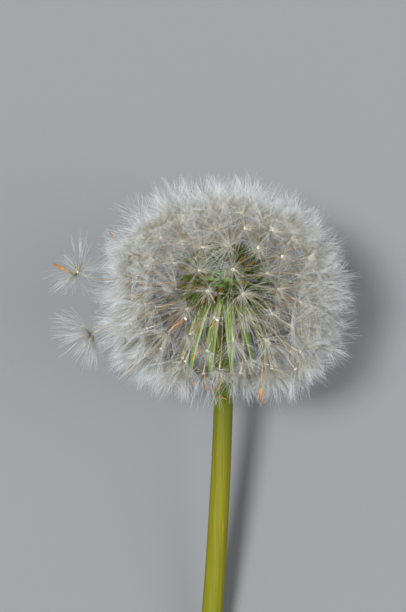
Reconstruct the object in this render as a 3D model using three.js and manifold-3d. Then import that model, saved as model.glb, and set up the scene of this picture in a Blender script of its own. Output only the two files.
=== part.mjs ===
// A picked dandelion seed head lying on a surface: a hollow stem with the receptacle at its top,
// reflexed green bracts, and seeds that each hold an achene, a beak and a parachute of hairs.
// Millimetres, +Z up. The stem runs towards -Y and the top of the head points towards +Y.
// The origin is on the surface, under the middle of the whole piece.
import * as THREE from "three";
import Module from "manifold-3d";
import { mergeVertices } from "three/addons/utils/BufferGeometryUtils.js";

const wasm = await Module();
wasm.setup();

// Driving dimensions of the lying piece.
const HEAD_CENTRE = new THREE.Vector3(4.2, 27.9, 21.5); // middle of the receptacle
const STEM_SLOPE = THREE.MathUtils.degToRad(14.4); // from the head down to the cut end

// The receptacle, a flattened dome, and the stem below it.
const RECEPTACLE_RADIUS = 5.0;
const RECEPTACLE_RISE = 2.8;
const RECEPTACLE_DROP = 3.3;
const NECK_Z = -5.2;
const STEM_TOP_RADIUS = 1.75;
const STEM_END_RADIUS = 2.1;
const STEM_WALL = 0.6;
const STEM_LENGTH = 78; // from the middle of the receptacle to the cut end
const STEM_BEND = 5.9e-4; // sideways drift of the stem, times the square of the distance
const STEM_RINGS = 7;
const STEM_SIDES = 14;

// The bracts.
const INNER_BRACTS = 13;
const INNER_BRACT_WIDTH = 2.2;
const OUTER_BRACTS = 10;
const OUTER_BRACT_WIDTH = 1.5;
const BRACT_THICKNESS = 0.45;
const BRACT_STEPS = 6;
const BRACT_BASE_SHARE = 0.66; // width where a bract leaves the receptacle, of its full width

// The seeds.
const SEATED_SEEDS = 43;
const SEED_SIDES = 8;
const ACHENE_LENGTH = 3.9;
const ACHENE_RADIUS = 0.44;
const BEAK_RADIUS = 0.13;
const SLIPPED_BEAK = 10; // length of the beak on a slipped seed
const SEAT_GAP = 0.3; // between a seed and the receptacle
const PAPPUS_RADIUS = 5.2;
const PAPPUS_DEPTH = 4.7;
const PAPPUS_HOLLOW = 1.2; // how deep the open side of a parachute is dished
const PAPPUS_RIM = 0.3;
const PRESSED_RIM = 0.4; // thickness of a parachute where it is pressed on the surface
const SEED_POINTS = 10; // points in a seed's outline, of which the last are the open side
const OPEN_SIDE_POINTS = 2;

// The hubs of the parachutes lie on an oblate shell, which is set back towards the stem.
const SHELL_RADIUS = 19.9;
const SHELL_HALF_HEIGHT = 16.6;
const SHELL_SET_BACK = 2.7;
const SHELL_LOWEST = -0.61; // lowest seated hub, as a share of the half height
const GOLDEN_ANGLE = Math.PI * (3 - Math.sqrt(5));
const LOWEST_SEED = 31; // counted from 1, the seed that points straight down when the piece lies
const SEED_TURN = Math.PI / 2 - (LOWEST_SEED - 1) * GOLDEN_ANGLE;

// Seeds that have slipped outwards and hang in the down of their neighbours, in the head's frame:
// where the hub is, and which way the parachute faces.
const SLIPPED_SEEDS = [
  { hub: [-28.5, -1.0, 1.0], facing: [-0.996, 0, 0.087] },
  { hub: [-25.7, -1.0, -10.7], facing: [-0.797, -0.087, -0.598] },
];

const stemGreen = new THREE.MeshStandardMaterial({ color: 0x918e26, roughness: 0.5, metalness: 0 });
const bractGreen = new THREE.MeshStandardMaterial({ color: 0x6f7d33, roughness: 0.6, metalness: 0 });
const seedDown = new THREE.MeshStandardMaterial({ color: 0xc9cdc8, roughness: 0.7, metalness: 0 });

const root = new THREE.Group();
const head = new THREE.Group();
head.position.copy(HEAD_CENTRE);
head.rotation.x = STEM_SLOPE - Math.PI / 2;
root.add(head);

function addPiece(name, geometry, material) {
  const mesh = new THREE.Mesh(geometry, material);
  mesh.name = name;
  head.add(mesh);
  return mesh;
}

// A closed geometry as a manifold-3d solid, and back.
function solidOf(geometry) {
  const bare = geometry.clone();
  bare.deleteAttribute("normal");
  bare.deleteAttribute("uv");
  const merged = mergeVertices(bare, 1e-4);
  return new wasm.Manifold(
    new wasm.Mesh({
      numProp: 3,
      vertProperties: merged.attributes.position.array,
      triVerts: new Uint32Array(merged.index.array),
    }),
  );
}

function geometryOf(solid) {
  const mesh = solid.getMesh();
  const geometry = new THREE.BufferGeometry();
  geometry.setAttribute("position", new THREE.BufferAttribute(mesh.vertProperties, 3));
  geometry.setIndex(new THREE.BufferAttribute(mesh.triVerts, 1));
  return geometry;
}

// Moves every vertex of a geometry: change(point, index) edits the point.
function reshape(geometry, change) {
  const places = geometry.attributes.position;
  const point = new THREE.Vector3();
  for (let i = 0; i < places.count; i++) {
    point.fromBufferAttribute(places, i);
    change(point, i);
    places.setXYZ(i, point.x, point.y, point.z);
  }
  return geometry;
}

// A lathe around +Z from a profile of [radius, height] pairs that runs from top to bottom.
function turned(profile, sides) {
  const points = profile.map(([radius, height]) => new THREE.Vector2(radius, height));
  return new THREE.LatheGeometry(points.reverse(), sides).rotateX(Math.PI / 2);
}

// The stem and its receptacle grew as one piece: a dome on a neck, and a tube open at the cut end.
function makeStem() {
  const profile = [];
  for (const angle of [0, 25, 50, 72, 90]) {
    const turn = THREE.MathUtils.degToRad(angle);
    profile.push([RECEPTACLE_RADIUS * Math.sin(turn), RECEPTACLE_RISE * Math.cos(turn)]);
  }
  for (const angle of [115, 135]) {
    const turn = THREE.MathUtils.degToRad(angle);
    profile.push([RECEPTACLE_RADIUS * Math.sin(turn), RECEPTACLE_DROP * Math.cos(turn)]);
  }
  for (let ring = 0; ring <= STEM_RINGS; ring++) {
    const share = ring / STEM_RINGS;
    profile.push([
      THREE.MathUtils.lerp(STEM_TOP_RADIUS, STEM_END_RADIUS, share),
      THREE.MathUtils.lerp(NECK_Z, -STEM_LENGTH, share),
    ]);
  }
  for (let ring = STEM_RINGS; ring >= 0; ring--) {
    const share = ring / STEM_RINGS;
    profile.push([
      THREE.MathUtils.lerp(STEM_TOP_RADIUS, STEM_END_RADIUS, share) - STEM_WALL,
      THREE.MathUtils.lerp(NECK_Z - 1, -STEM_LENGTH, share),
    ]);
  }
  profile.push([0, NECK_Z - 0.4]);
  const geometry = turned(profile, STEM_SIDES);
  return reshape(geometry, (point) => {
    if (point.z < 0) point.x -= STEM_BEND * point.z * point.z;
  });
}

// A bract is a strip with a pointed tip, bent along a curve that leaves the receptacle and hangs
// outwards. The curve lies in the plane of X, away from the stem, and Z.
function makeBract(curve, width) {
  const strip = new THREE.BoxGeometry(1, BRACT_THICKNESS, 1, 2, 1, BRACT_STEPS);
  return reshape(strip, (point) => {
    const along = point.z + 0.5;
    const place = curve.getPoint(along);
    const way = curve.getTangent(along);
    const share = Math.min(BRACT_BASE_SHARE + 1.6 * along, 1 - 0.86 * Math.pow(along, 2.2));
    const across = point.x * width * share;
    const cupped = point.y - across * across * 0.25;
    point.set(place.x - way.y * cupped, across, place.y + way.x * cupped);
  });
}

function bractCurve(points) {
  return new THREE.SplineCurve(points.map(([out, up]) => new THREE.Vector2(out, up)));
}

function addBracts() {
  const innerCurve = bractCurve([
    [3.9, -3.6],
    [5.6, -6.4],
    [7.9, -12.2],
    [9.3, -18.8],
  ]);
  for (let i = 0; i < INNER_BRACTS; i++) {
    const name = "inner_bract_" + String(i + 1).padStart(2, "0");
    const mesh = addPiece(name, makeBract(innerCurve, INNER_BRACT_WIDTH), bractGreen);
    mesh.rotation.z = (i / INNER_BRACTS) * 2 * Math.PI;
  }
  // The small outer bracts are joined by the collar that they grow from.
  const outerCurve = bractCurve([
    [2.3, -5.9],
    [3.4, -7.2],
    [4.1, -10.2],
    [4.3, -13.4],
  ]);
  const collar = turned(
    [
      [2.15, -5.6],
      [2.75, -5.6],
      [2.75, -6.6],
      [2.15, -6.6],
      [2.15, -5.6],
    ],
    STEM_SIDES,
  );
  let ring = solidOf(collar);
  for (let i = 0; i < OUTER_BRACTS; i++) {
    const leaf = makeBract(outerCurve, OUTER_BRACT_WIDTH);
    leaf.rotateZ((i / OUTER_BRACTS) * 2 * Math.PI);
    ring = ring.add(solidOf(leaf));
  }
  addPiece("outer_bracts", geometryOf(ring), bractGreen);
}

// One seed around +Z: the achene stands on z = 0, and the open side of the parachute faces +Z.
function makeSeed(hubHeight) {
  return turned(
    [
      [0, hubHeight + PAPPUS_DEPTH + PAPPUS_RIM - PAPPUS_HOLLOW],
      [PAPPUS_RADIUS, hubHeight + PAPPUS_DEPTH + PAPPUS_RIM],
      [PAPPUS_RADIUS, hubHeight + PAPPUS_DEPTH],
      [0.4, hubHeight],
      [BEAK_RADIUS, hubHeight - 0.3],
      [BEAK_RADIUS, ACHENE_LENGTH + 0.5],
      [0.8 * ACHENE_RADIUS, 0.85 * ACHENE_LENGTH],
      [ACHENE_RADIUS, 0.58 * ACHENE_LENGTH],
      [0.5 * ACHENE_RADIUS, 0.06 * ACHENE_LENGTH],
      [0, 0],
    ],
    SEED_SIDES,
  );
}

function pointAlong(mesh, start, direction) {
  mesh.position.copy(start);
  mesh.quaternion.setFromUnitVectors(new THREE.Vector3(0, 0, 1), direction);
}

// Where a parachute reaches below the surface, its hairs are pressed flat on it.
function pressOnSurface(mesh) {
  mesh.updateWorldMatrix(true, false);
  const back = mesh.matrixWorld.clone().invert();
  const openSide = (index) => index % SEED_POINTS >= SEED_POINTS - OPEN_SIDE_POINTS;
  reshape(mesh.geometry, (point, index) => {
    point.applyMatrix4(mesh.matrixWorld);
    point.z = Math.max(point.z, openSide(index) ? 0 : PRESSED_RIM);
    point.applyMatrix4(back);
  });
}

// How far the receptacle's surface is from its middle, in a direction of the head's frame.
function receptacleReach(direction) {
  const height = direction.z > 0 ? RECEPTACLE_RISE : RECEPTACLE_DROP;
  const across = Math.hypot(direction.x, direction.y) / RECEPTACLE_RADIUS;
  return 1 / Math.hypot(across, direction.z / height);
}

function addSeeds() {
  for (let i = 0; i < SEATED_SEEDS; i++) {
    const level = 1 - ((i + 0.5) / SEATED_SEEDS) * (1 - SHELL_LOWEST);
    const turn = i * GOLDEN_ANGLE + SEED_TURN;
    const out = SHELL_RADIUS * Math.sqrt(1 - level * level);
    const hub = new THREE.Vector3(
      out * Math.cos(turn),
      out * Math.sin(turn),
      level * SHELL_HALF_HEIGHT - SHELL_SET_BACK,
    );
    const direction = hub.clone().normalize();
    const seat = receptacleReach(direction) + SEAT_GAP;
    const name = "seed_" + String(i + 1).padStart(2, "0");
    const mesh = addPiece(name, makeSeed(hub.length() - seat), seedDown);
    pointAlong(mesh, direction.clone().multiplyScalar(seat), direction);
    pressOnSurface(mesh);
  }
  SLIPPED_SEEDS.forEach(({ hub, facing }, i) => {
    const direction = new THREE.Vector3(...facing).normalize();
    const length = ACHENE_LENGTH + SLIPPED_BEAK;
    const start = new THREE.Vector3(...hub).addScaledVector(direction, -length);
    const mesh = addPiece("slipped_seed_" + (i + 1), makeSeed(length), seedDown);
    pointAlong(mesh, start, direction);
  });
}

addPiece("stem", makeStem(), stemGreen);
addBracts();
addSeeds();

export default root;
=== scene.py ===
import math

import bmesh
import bpy
import numpy as np
from mathutils import Matrix, Vector


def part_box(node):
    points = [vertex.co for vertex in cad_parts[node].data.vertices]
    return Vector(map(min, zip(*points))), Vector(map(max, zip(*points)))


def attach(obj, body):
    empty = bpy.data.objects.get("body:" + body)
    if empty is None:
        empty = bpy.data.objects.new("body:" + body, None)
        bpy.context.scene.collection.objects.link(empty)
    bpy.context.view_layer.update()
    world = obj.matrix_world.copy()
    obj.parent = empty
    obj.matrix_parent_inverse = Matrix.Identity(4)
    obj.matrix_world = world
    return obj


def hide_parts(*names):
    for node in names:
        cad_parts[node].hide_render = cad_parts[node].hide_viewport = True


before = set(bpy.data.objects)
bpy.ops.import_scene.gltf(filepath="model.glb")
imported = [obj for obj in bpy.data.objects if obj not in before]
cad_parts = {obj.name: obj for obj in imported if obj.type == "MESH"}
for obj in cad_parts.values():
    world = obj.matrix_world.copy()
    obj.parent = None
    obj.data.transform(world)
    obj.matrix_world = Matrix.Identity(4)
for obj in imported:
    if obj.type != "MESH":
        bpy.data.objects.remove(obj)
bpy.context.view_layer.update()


# ---- The head's own frame ----
# A picked dandelion head lies on its lowest parachutes and on the cut end of its stem.
# Every piece grew around the stem's axis, so each one is made around +Z and then laid down with
# the head. The lowest seed points straight down, so it stands under the middle of the receptacle.
MM = 0.001
STEM_SLOPE = math.radians(14.4)
LYING_TURN = STEM_SLOPE - math.pi / 2
HEAD_HEIGHT = 21.5 * MM
lowest_seed_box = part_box("seed_31")
head_middle = (lowest_seed_box[0] + lowest_seed_box[1]) / 2
head_middle.z = HEAD_HEIGHT
LAID_DOWN = Matrix.Translation(head_middle) @ Matrix.Rotation(LYING_TURN, 4, "X")


def laid_down(points):
    """Points in the head's own frame, as they are once the head lies on the surface."""
    turn = np.array(LAID_DOWN.to_3x3())
    return points @ turn.T + np.array(LAID_DOWN.translation)


# ---- Stem and receptacle ----
# The hollow flower stalk and the swollen cushion at its top, which grew as one piece of soft
# green tissue: a thin juicy wall with a waxy skin outside, open where it was picked, and above
# it the pale cushion in which every seed had its seat.
STEM_TOP_RADIUS = 1.75 * MM
STEM_END_RADIUS = 2.1 * MM
STEM_WALL = 0.6 * MM
STEM_NECK = -5.2 * MM
STEM_END = -78 * MM
STEM_BEND = 0.59
STEM_SIDES = 48
STEM_RINGS = 60
STEM_RIBS = 11
RIB_DEPTH = 0.035 * MM
RIB_TWIST = 60
RECEPTACLE_RADIUS = 5.0 * MM
RECEPTACLE_RISE = 2.8 * MM
RECEPTACLE_DROP = 3.3 * MM
CUSHION_EDGE = -3 * MM
# How far the painted shadow of the head reaches along the stem.
HEAD_SHADOW_REACH = 20 * MM
SCAR_PLACE = (-0.4 * MM, -2.0 * MM, -48 * MM)
SCAR_SIZE = (0.3 * MM, 0.6 * MM, 2.2 * MM)
# The rounded cut, in mm in from the skin and past the end, and the top of the bore, in mm out from
# the axis and up from the neck.
CUT_RIM = [(0.06, 0.09), (0.3, 0.12), (0.54, 0.09)]
BORE_TOP = [(0.7, -0.6), (0, -0.4)]


def paint(hex_colour):
    """An sRGB hex colour as the linear colour that a socket takes."""
    parts = [int(hex_colour[i:i + 2], 16) / 255 for i in (1, 3, 5)]
    linear = [p / 12.92 if p <= 0.04045 else ((p + 0.055) / 1.055) ** 2.4 for p in parts]
    return (*linear, 1.0)


def add_node(material, kind, inputs=None, settings=None, stops=None):
    """Adds one node: what goes into its sockets, its settings, and a colour ramp's stops.

    The first two stops are the ends. A Mix node takes the share of its second colour in socket
    0 and its colours in 6 and 7. A Scale of 5 / MM is five grains a millimetre.
    """
    tree = material.node_tree
    made = tree.nodes.new("ShaderNode" + kind)
    for name, value in (settings or {}).items():
        setattr(made, name, value)
    for place, (position, colour) in enumerate(stops or []):
        spots = made.color_ramp.elements
        spot = spots[place] if place < 2 else spots.new(position)
        spot.position = position
        spot.color = paint(colour)
    for socket, value in (inputs or {}).items():
        if isinstance(value, bpy.types.NodeSocket):
            tree.links.new(value, made.inputs[socket])
        else:
            made.inputs[socket].default_value = value
    return made


def new_material(name, finish):
    """A material whose surface shader has the plain numbers and colours in finish."""
    material = bpy.data.materials.new(name)
    material.use_nodes = True
    surface = material.node_tree.nodes["Principled BSDF"]
    for socket, value in finish.items():
        surface.inputs[socket].default_value = value
    return material


def finish_surface(material, colour, grain, dullness, bump, ends=(0.3, 0.7), ridges=None):
    """Gives the surface its colour, and a roughness and a bump that follow its grain.

    The roughness runs between the two dullnesses while the grain runs between its two ends. The
    bump has a strength and a depth, and may follow ridges instead.
    """
    roughness = add_node(
        material,
        "MapRange",
        {
            "Value": grain,
            "From Min": ends[0],
            "From Max": ends[1],
            "To Min": dullness[0],
            "To Max": dullness[1],
        },
    )
    height = grain if ridges is None else ridges
    raised = add_node(
        material, "Bump", {"Strength": bump[0], "Distance": bump[1], "Height": height}
    )
    surface = material.node_tree.nodes["Principled BSDF"]
    for socket, output in (
        ("Base Color", colour),
        ("Roughness", roughness.outputs[0]),
        ("Normal", raised.outputs[0]),
    ):
        material.node_tree.links.new(output, surface.inputs[socket])


def mesh_of(shape, name):
    """The mesh of a shape that is ready."""
    mesh = bpy.data.meshes.new(name)
    shape.to_mesh(mesh)
    shape.free()
    return mesh


def finished_piece(name, mesh, slot, materials, *stood_for):
    """Shows a mesh as one piece that rides on the part and stands for its CAD nodes."""
    mesh.name = name
    for material in materials:
        mesh.materials.append(material)
    mesh.shade_smooth()
    piece = bpy.data.objects.new(name, mesh)
    bpy.context.scene.collection.objects.link(piece)
    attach(piece, "root")
    if stood_for:
        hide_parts(*stood_for)
    return piece


# Waxy skin of a fresh stem: yellow-green, with long darker streaks where the strands run under
# the skin, half a millimetre apart. It is greener in patches and has one ochre scar, and under the
# head it is painted darker and greener, as a painted shadow of the head.
stem_skin = new_material("fresh_stem_waxy_skin", {"IOR": 1.4, "Specular IOR Level": 0.22})
place = add_node(stem_skin, "TexCoord")
lengthwise = add_node(
    stem_skin,
    "Mapping",
    {"Vector": place.outputs["Object"], "Rotation": (LYING_TURN, 0, 0), "Scale": (1, 1, 40)},
    {"vector_type": "TEXTURE"},
)
streaks = add_node(
    stem_skin,
    "TexNoise",
    {"Vector": lengthwise.outputs[0], "Scale": 1.9 / MM, "Detail": 3, "Roughness": 0.6},
)
streak_colour = add_node(
    stem_skin,
    "ValToRGB",
    {"Fac": streaks.outputs["Fac"]},
    stops=[(0.30, "#65600a"), (0.72, "#857f16"), (0.50, "#756f0e")],
)
patches = add_node(
    stem_skin, "TexNoise", {"Vector": place.outputs["Object"], "Scale": 0.09 / MM, "Detail": 2}
)
patch_strength = add_node(
    stem_skin,
    "MapRange",
    {"Value": patches.outputs["Fac"], "From Min": 0.4, "From Max": 0.7, "To Max": 0.45},
)
patched = add_node(
    stem_skin,
    "Mix",
    {0: patch_strength.outputs[0], 6: streak_colour.outputs[0], 7: paint("#6c7514")},
    {"data_type": "RGBA"},
)
# Painted shadow of the head: the stem turns darker and greener towards the head.
head_shadow_place = add_node(
    stem_skin,
    "Mapping",
    {
        "Vector": place.outputs["Object"],
        "Location": LAID_DOWN @ Vector((0, 0, -HEAD_SHADOW_REACH)),
        "Scale": (HEAD_SHADOW_REACH, HEAD_SHADOW_REACH, HEAD_SHADOW_REACH),
    },
    {"vector_type": "TEXTURE"},
)
head_shadow = add_node(
    stem_skin, "TexGradient", {"Vector": head_shadow_place.outputs[0]}, {"gradient_type": "SPHERICAL"}
)
head_shaded = add_node(
    stem_skin,
    "Mix",
    {0: head_shadow.outputs["Fac"], 6: patched.outputs[2], 7: paint("#505c12")},
    {"data_type": "RGBA"},
)
scar_place = add_node(
    stem_skin,
    "Mapping",
    {
        "Vector": place.outputs["Object"],
        "Location": LAID_DOWN @ Vector(SCAR_PLACE),
        "Rotation": (LYING_TURN, 0, 0),
        "Scale": SCAR_SIZE,
    },
    {"vector_type": "TEXTURE"},
)
scar = add_node(
    stem_skin, "TexGradient", {"Vector": scar_place.outputs[0]}, {"gradient_type": "SPHERICAL"}
)
scarred = add_node(
    stem_skin,
    "Mix",
    {0: scar.outputs["Fac"], 6: head_shaded.outputs[2], 7: paint("#a07a28")},
    {"data_type": "RGBA"},
)
finish_surface(
    stem_skin,
    scarred.outputs[2],
    streaks.outputs["Fac"],
    dullness=(0.48, 0.62),
    bump=(0.35, 0.05 * MM),
)

# Cut wall and bore of the stem: pale moist pith in clumps of 0.2 mm, a little browned by sap.
stem_pith = new_material("cut_stem_pale_pith", {"IOR": 1.4})
place = add_node(stem_pith, "TexCoord")
pith_cells = add_node(stem_pith, "TexVoronoi", {"Vector": place.outputs["Object"], "Scale": 5 / MM})
pith_colour = add_node(
    stem_pith,
    "ValToRGB",
    {"Fac": pith_cells.outputs["Distance"]},
    stops=[(0.1, "#d5d2a0"), (0.9, "#a99f62")],
)
finish_surface(
    stem_pith,
    pith_colour.outputs[0],
    pith_cells.outputs["Distance"],
    dullness=(0.4, 0.65),
    bump=(0.4, 0.04 * MM),
    ends=(0, 1),
)

# Receptacle: soft pale green tissue, dimpled by the seats of the seeds, which are 1.1 mm apart.
seat_tissue = new_material("receptacle_dimpled_tissue", {"IOR": 1.4})
place = add_node(seat_tissue, "TexCoord")
seat_dimples = add_node(
    seat_tissue,
    "TexVoronoi",
    {"Vector": place.outputs["Object"], "Scale": 0.9 / MM, "Randomness": 0.7},
)
seat_colour = add_node(
    seat_tissue,
    "ValToRGB",
    {"Fac": seat_dimples.outputs["Distance"]},
    stops=[(0.15, "#3f571c"), (0.85, "#93ab58"), (0.45, "#5f7c30")],
)
finish_surface(
    seat_tissue,
    seat_colour.outputs[0],
    seat_dimples.outputs["Distance"],
    dullness=(0.75, 0.55),
    bump=(0.8, 0.25 * MM),
    ends=(0, 1),
)


def skin_radius(share):
    """The radius of the stem, from its neck at 0 to its cut end at 1."""
    return STEM_TOP_RADIUS + (STEM_END_RADIUS - STEM_TOP_RADIUS) * share


# The outline runs from the top of the cushion down the skin, round the cut rim and up the bore.
cushion_outline = []
for degrees in range(0, 140, 10):
    lean = math.radians(degrees)
    height = RECEPTACLE_RISE if degrees < 90 else RECEPTACLE_DROP
    cushion_outline.append((RECEPTACLE_RADIUS * math.sin(lean), height * math.cos(lean)))
skin_outline = []
for ring in range(STEM_RINGS + 1):
    share = ring / STEM_RINGS
    skin_outline.append((skin_radius(share), STEM_NECK + (STEM_END - STEM_NECK) * share))
rim_outline = [(STEM_END_RADIUS - inward * MM, STEM_END - past * MM) for inward, past in CUT_RIM]
bore_outline = [(radius - STEM_WALL, height) for radius, height in reversed(skin_outline[1:])]
bore_outline += [(out * MM, STEM_NECK + up * MM) for out, up in BORE_TOP]

shape = bmesh.new()
row = [
    shape.verts.new((radius, 0, height))
    for radius, height in cushion_outline + skin_outline + rim_outline + bore_outline
]
for upper, lower in zip(row, row[1:]):
    shape.edges.new((upper, lower))
bmesh.ops.spin(
    shape,
    geom=shape.verts[:] + shape.edges[:],
    axis=(0, 0, 1),
    cent=(0, 0, 0),
    angle=2 * math.pi,
    steps=STEM_SIDES,
    use_merge=True,
)
bmesh.ops.remove_doubles(shape, verts=shape.verts[:], dist=0.001 * MM)
bmesh.ops.recalc_face_normals(shape, faces=shape.faces[:])

# Cushion faces are seat tissue, and those of the rim and the bore, inside the skin, are pith.
for face in shape.faces:
    middle = face.calc_center_median()
    skin = skin_radius((middle.z - STEM_NECK) / (STEM_END - STEM_NECK))
    if middle.z > STEM_NECK + 0.4 * MM:
        face.material_index = 2 if middle.z > CUSHION_EDGE else 0
    elif math.hypot(middle.x, middle.y) < skin - 0.03 * MM:
        face.material_index = 1

# Low ribs wind slowly down the skin, and the whole stem bends a little to one side.
for vert in shape.verts:
    out = math.hypot(vert.co.x, vert.co.y)
    if vert.co.z < STEM_NECK and out > STEM_TOP_RADIUS - 0.01 * MM:
        angle = math.atan2(vert.co.y, vert.co.x)
        swell = 1 + RIB_DEPTH / out * math.cos(STEM_RIBS * angle + RIB_TWIST * vert.co.z)
        vert.co.x *= swell
        vert.co.y *= swell
    if vert.co.z < 0:
        vert.co.x -= STEM_BEND * vert.co.z * vert.co.z
bmesh.ops.transform(shape, matrix=LAID_DOWN, verts=shape.verts[:])
finished_piece(
    "flower_stalk_with_receptacle",
    mesh_of(shape, "stem"),
    "stem",
    [stem_skin, stem_pith, seat_tissue],
    "stem",
)


# ---- Inner bracts ----
# Thirteen narrow green leaves that closed the bud, grown from the rim of the receptacle. They
# have folded back and hang round the stem: fleshy in the middle, with thin whitish margins.
INNER_BRACTS = 13
INNER_BRACT_WIDTH = 2.2 * MM
BRACT_THICKNESS = 0.36 * MM
BRACT_LEAST_THICKNESS = 0.4
BRACT_SIDES = 12
BRACT_RINGS = 17
INNER_BRACT_LINE = [(3.9, -3.6), (5.6, -6.4), (7.9, -12.2), (9.3, -18.8)]
# A bract widens from its foot and tapers to its tip, in shares of its width, and is hollowed
# along its middle.
BRACT_BASE_SHARE = 0.66
BRACT_WIDENING = 1.6
BRACT_TAPER = 0.9
BRACT_TAPER_POWER = 2.4
BRACT_CHANNEL = 0.25 / MM


def rod(sides, radii):
    """A closed round rod around +Z with one ring at each whole height, as thick as radii say."""
    shape = bmesh.new()
    last = len(radii) - 1
    bmesh.ops.create_cone(
        shape,
        cap_ends=True,
        segments=sides,
        radius1=1,
        radius2=1,
        depth=last,
        matrix=Matrix.Translation((0, 0, last / 2)),
    )
    for ring in range(1, last):
        bmesh.ops.bisect_plane(
            shape,
            geom=shape.verts[:] + shape.edges[:] + shape.faces[:],
            plane_co=(0, 0, ring),
            plane_no=(0, 0, 1),
        )
    for vert in shape.verts:
        radius = radii[round(vert.co.z)]
        vert.co.x *= radius
        vert.co.y *= radius
    return mesh_of(shape, "rod")


def corners_of(mesh):
    """The corners of a mesh as rows of x, y and z."""
    flat = np.empty(len(mesh.vertices) * 3)
    mesh.vertices.foreach_get("co", flat)
    return flat.reshape(-1, 3)


def give_attribute(mesh, name, values):
    """One number for each corner of a mesh, for its material to read."""
    attribute = mesh.attributes.new(name, "FLOAT", "POINT")
    attribute.data.foreach_set("value", np.asarray(values, np.float32))


def bract_corners(strip, line, width, turn, curl, sway, twist):
    """Bends a rod into a bract that leaves the receptacle along a line of (out, up) in mm."""
    across, thick, ring = strip[:, 0], strip[:, 1], strip[:, 2]
    along = ring / ring.max()
    steps = np.linspace(0, 1, len(line))
    out_rule, up_rule = (np.polyfit(steps, [p[i] for p in line], 3) for i in (0, 1))
    out = (np.polyval(out_rule, along) + curl * along ** 3) * MM
    up = np.polyval(up_rule, along) * MM
    out_way = np.polyval(np.polyder(out_rule), along) + 3 * curl * along ** 2
    up_way = np.polyval(np.polyder(up_rule), along)
    long = np.hypot(out_way, up_way)
    share = np.minimum(
        BRACT_BASE_SHARE + BRACT_WIDENING * along,
        1 - BRACT_TAPER * along ** BRACT_TAPER_POWER,
    )
    lean = twist * along ** 2
    flat = across * width / 2 * share
    side = flat * np.cos(lean)
    body = BRACT_LEAST_THICKNESS + (1 - BRACT_LEAST_THICKNESS) * share
    lift = flat * np.sin(lean) - BRACT_CHANNEL * flat ** 2 + thick * BRACT_THICKNESS / 2 * body
    out = out - up_way / long * lift
    up = up + out_way / long * lift
    angle = turn + sway * along ** 2
    right = out * np.cos(angle) - side * np.sin(angle)
    back = out * np.sin(angle) + side * np.cos(angle)
    return np.stack([right, back, up], axis=1)


growth = np.random.default_rng(13)


def grown_bract(line, width, turn, curls, sways, twists):
    """One bract's mesh, its corners while straight, and its corners bent by its own growth."""
    mesh = rod(BRACT_SIDES, [1] * BRACT_RINGS)
    strip = corners_of(mesh)
    curl, sway, twist = (growth.uniform(*ends) for ends in (curls, sways, twists))
    return mesh, strip, bract_corners(strip, line, width, turn, curl, sway, twist)


# Living leaf, light green and softly mottled: the strands run lengthwise 0.25 mm apart, drawn
# here at 0.45 mm so that they show, and the margins are dry and whitish.
bract_leaf = new_material("bract_living_leaf", {"IOR": 1.42})
across = add_node(bract_leaf, "Attribute", settings={"attribute_name": "across"})
along = add_node(bract_leaf, "Attribute", settings={"attribute_name": "along"})
place = add_node(bract_leaf, "TexCoord")
leaf_strip = add_node(
    bract_leaf, "CombineXYZ", {"X": across.outputs["Fac"], "Y": along.outputs["Fac"]}
)
leaf_strands = add_node(
    bract_leaf,
    "TexWave",
    {
        "Vector": leaf_strip.outputs[0],
        "Scale": 0.75,
        "Distortion": 1.6,
        "Detail": 2,
        "Detail Scale": 2.0,
    },
    {"bands_direction": "X"},
)
leaf_colour = add_node(
    bract_leaf,
    "ValToRGB",
    {"Fac": leaf_strands.outputs["Fac"]},
    stops=[(0.20, "#37561c"), (0.85, "#92a85a")],
)
leaf_mottle = add_node(
    bract_leaf, "TexNoise", {"Vector": place.outputs["Object"], "Scale": 0.42 / MM, "Detail": 3}
)
mottle_strength = add_node(
    bract_leaf,
    "MapRange",
    {"Value": leaf_mottle.outputs["Fac"], "From Min": 0.35, "From Max": 0.7, "To Max": 0.5},
)
leaf_mottled = add_node(
    bract_leaf,
    "Mix",
    {0: mottle_strength.outputs[0], 6: leaf_colour.outputs[0], 7: paint("#668632")},
    {"data_type": "RGBA"},
)
from_middle = add_node(bract_leaf, "Math", {0: across.outputs["Fac"]}, {"operation": "ABSOLUTE"})
margin = add_node(
    bract_leaf,
    "MapRange",
    {"Value": from_middle.outputs[0], "From Min": 0.55, "From Max": 0.95, "To Max": 0.9},
    {"interpolation_type": "SMOOTHSTEP"},
)
leaf_edged = add_node(
    bract_leaf,
    "Mix",
    {0: margin.outputs[0], 6: leaf_mottled.outputs[2], 7: paint("#b6bf86")},
    {"data_type": "RGBA"},
)
finish_surface(
    bract_leaf,
    leaf_edged.outputs[2],
    leaf_mottle.outputs["Fac"],
    dullness=(0.5, 0.68),
    bump=(0.5, 0.08 * MM),
    ridges=leaf_strands.outputs["Fac"],
)

for number in range(INNER_BRACTS):
    bract_mesh, strip, corners = grown_bract(
        INNER_BRACT_LINE,
        INNER_BRACT_WIDTH,
        turn=number / INNER_BRACTS * 2 * math.pi,
        curls=(-0.7, 0.5),
        sways=(-0.07, 0.07),
        twists=(-0.5, 0.5),
    )
    bract_mesh.vertices.foreach_set("co", laid_down(corners).ravel())
    give_attribute(bract_mesh, "across", strip[:, 0])
    give_attribute(bract_mesh, "along", strip[:, 2] / (BRACT_RINGS - 1))
    finished_piece(
        "inner_bract_leaf_%02d" % (number + 1),
        bract_mesh,
        "bract",
        [bract_leaf],
        "inner_bract_%02d" % (number + 1),
    )


# ---- Outer bracts ----
# Ten short leaves of the same green tissue, in a whorl under the inner ones, joined by the
# collar on the neck of the stem that they grew from.
OUTER_BRACTS = 10
OUTER_BRACT_WIDTH = 1.5 * MM
OUTER_BRACT_LINE = [(2.3, -5.9), (3.4, -7.2), (4.1, -10.2), (4.3, -13.4)]
COLLAR_RADIUS = 2.45 * MM
COLLAR_THICKNESS = 0.42 * MM
COLLAR_HEIGHT = -6.1 * MM
COLLAR_SIDES = 10
COLLAR_STEPS = 36

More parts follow.
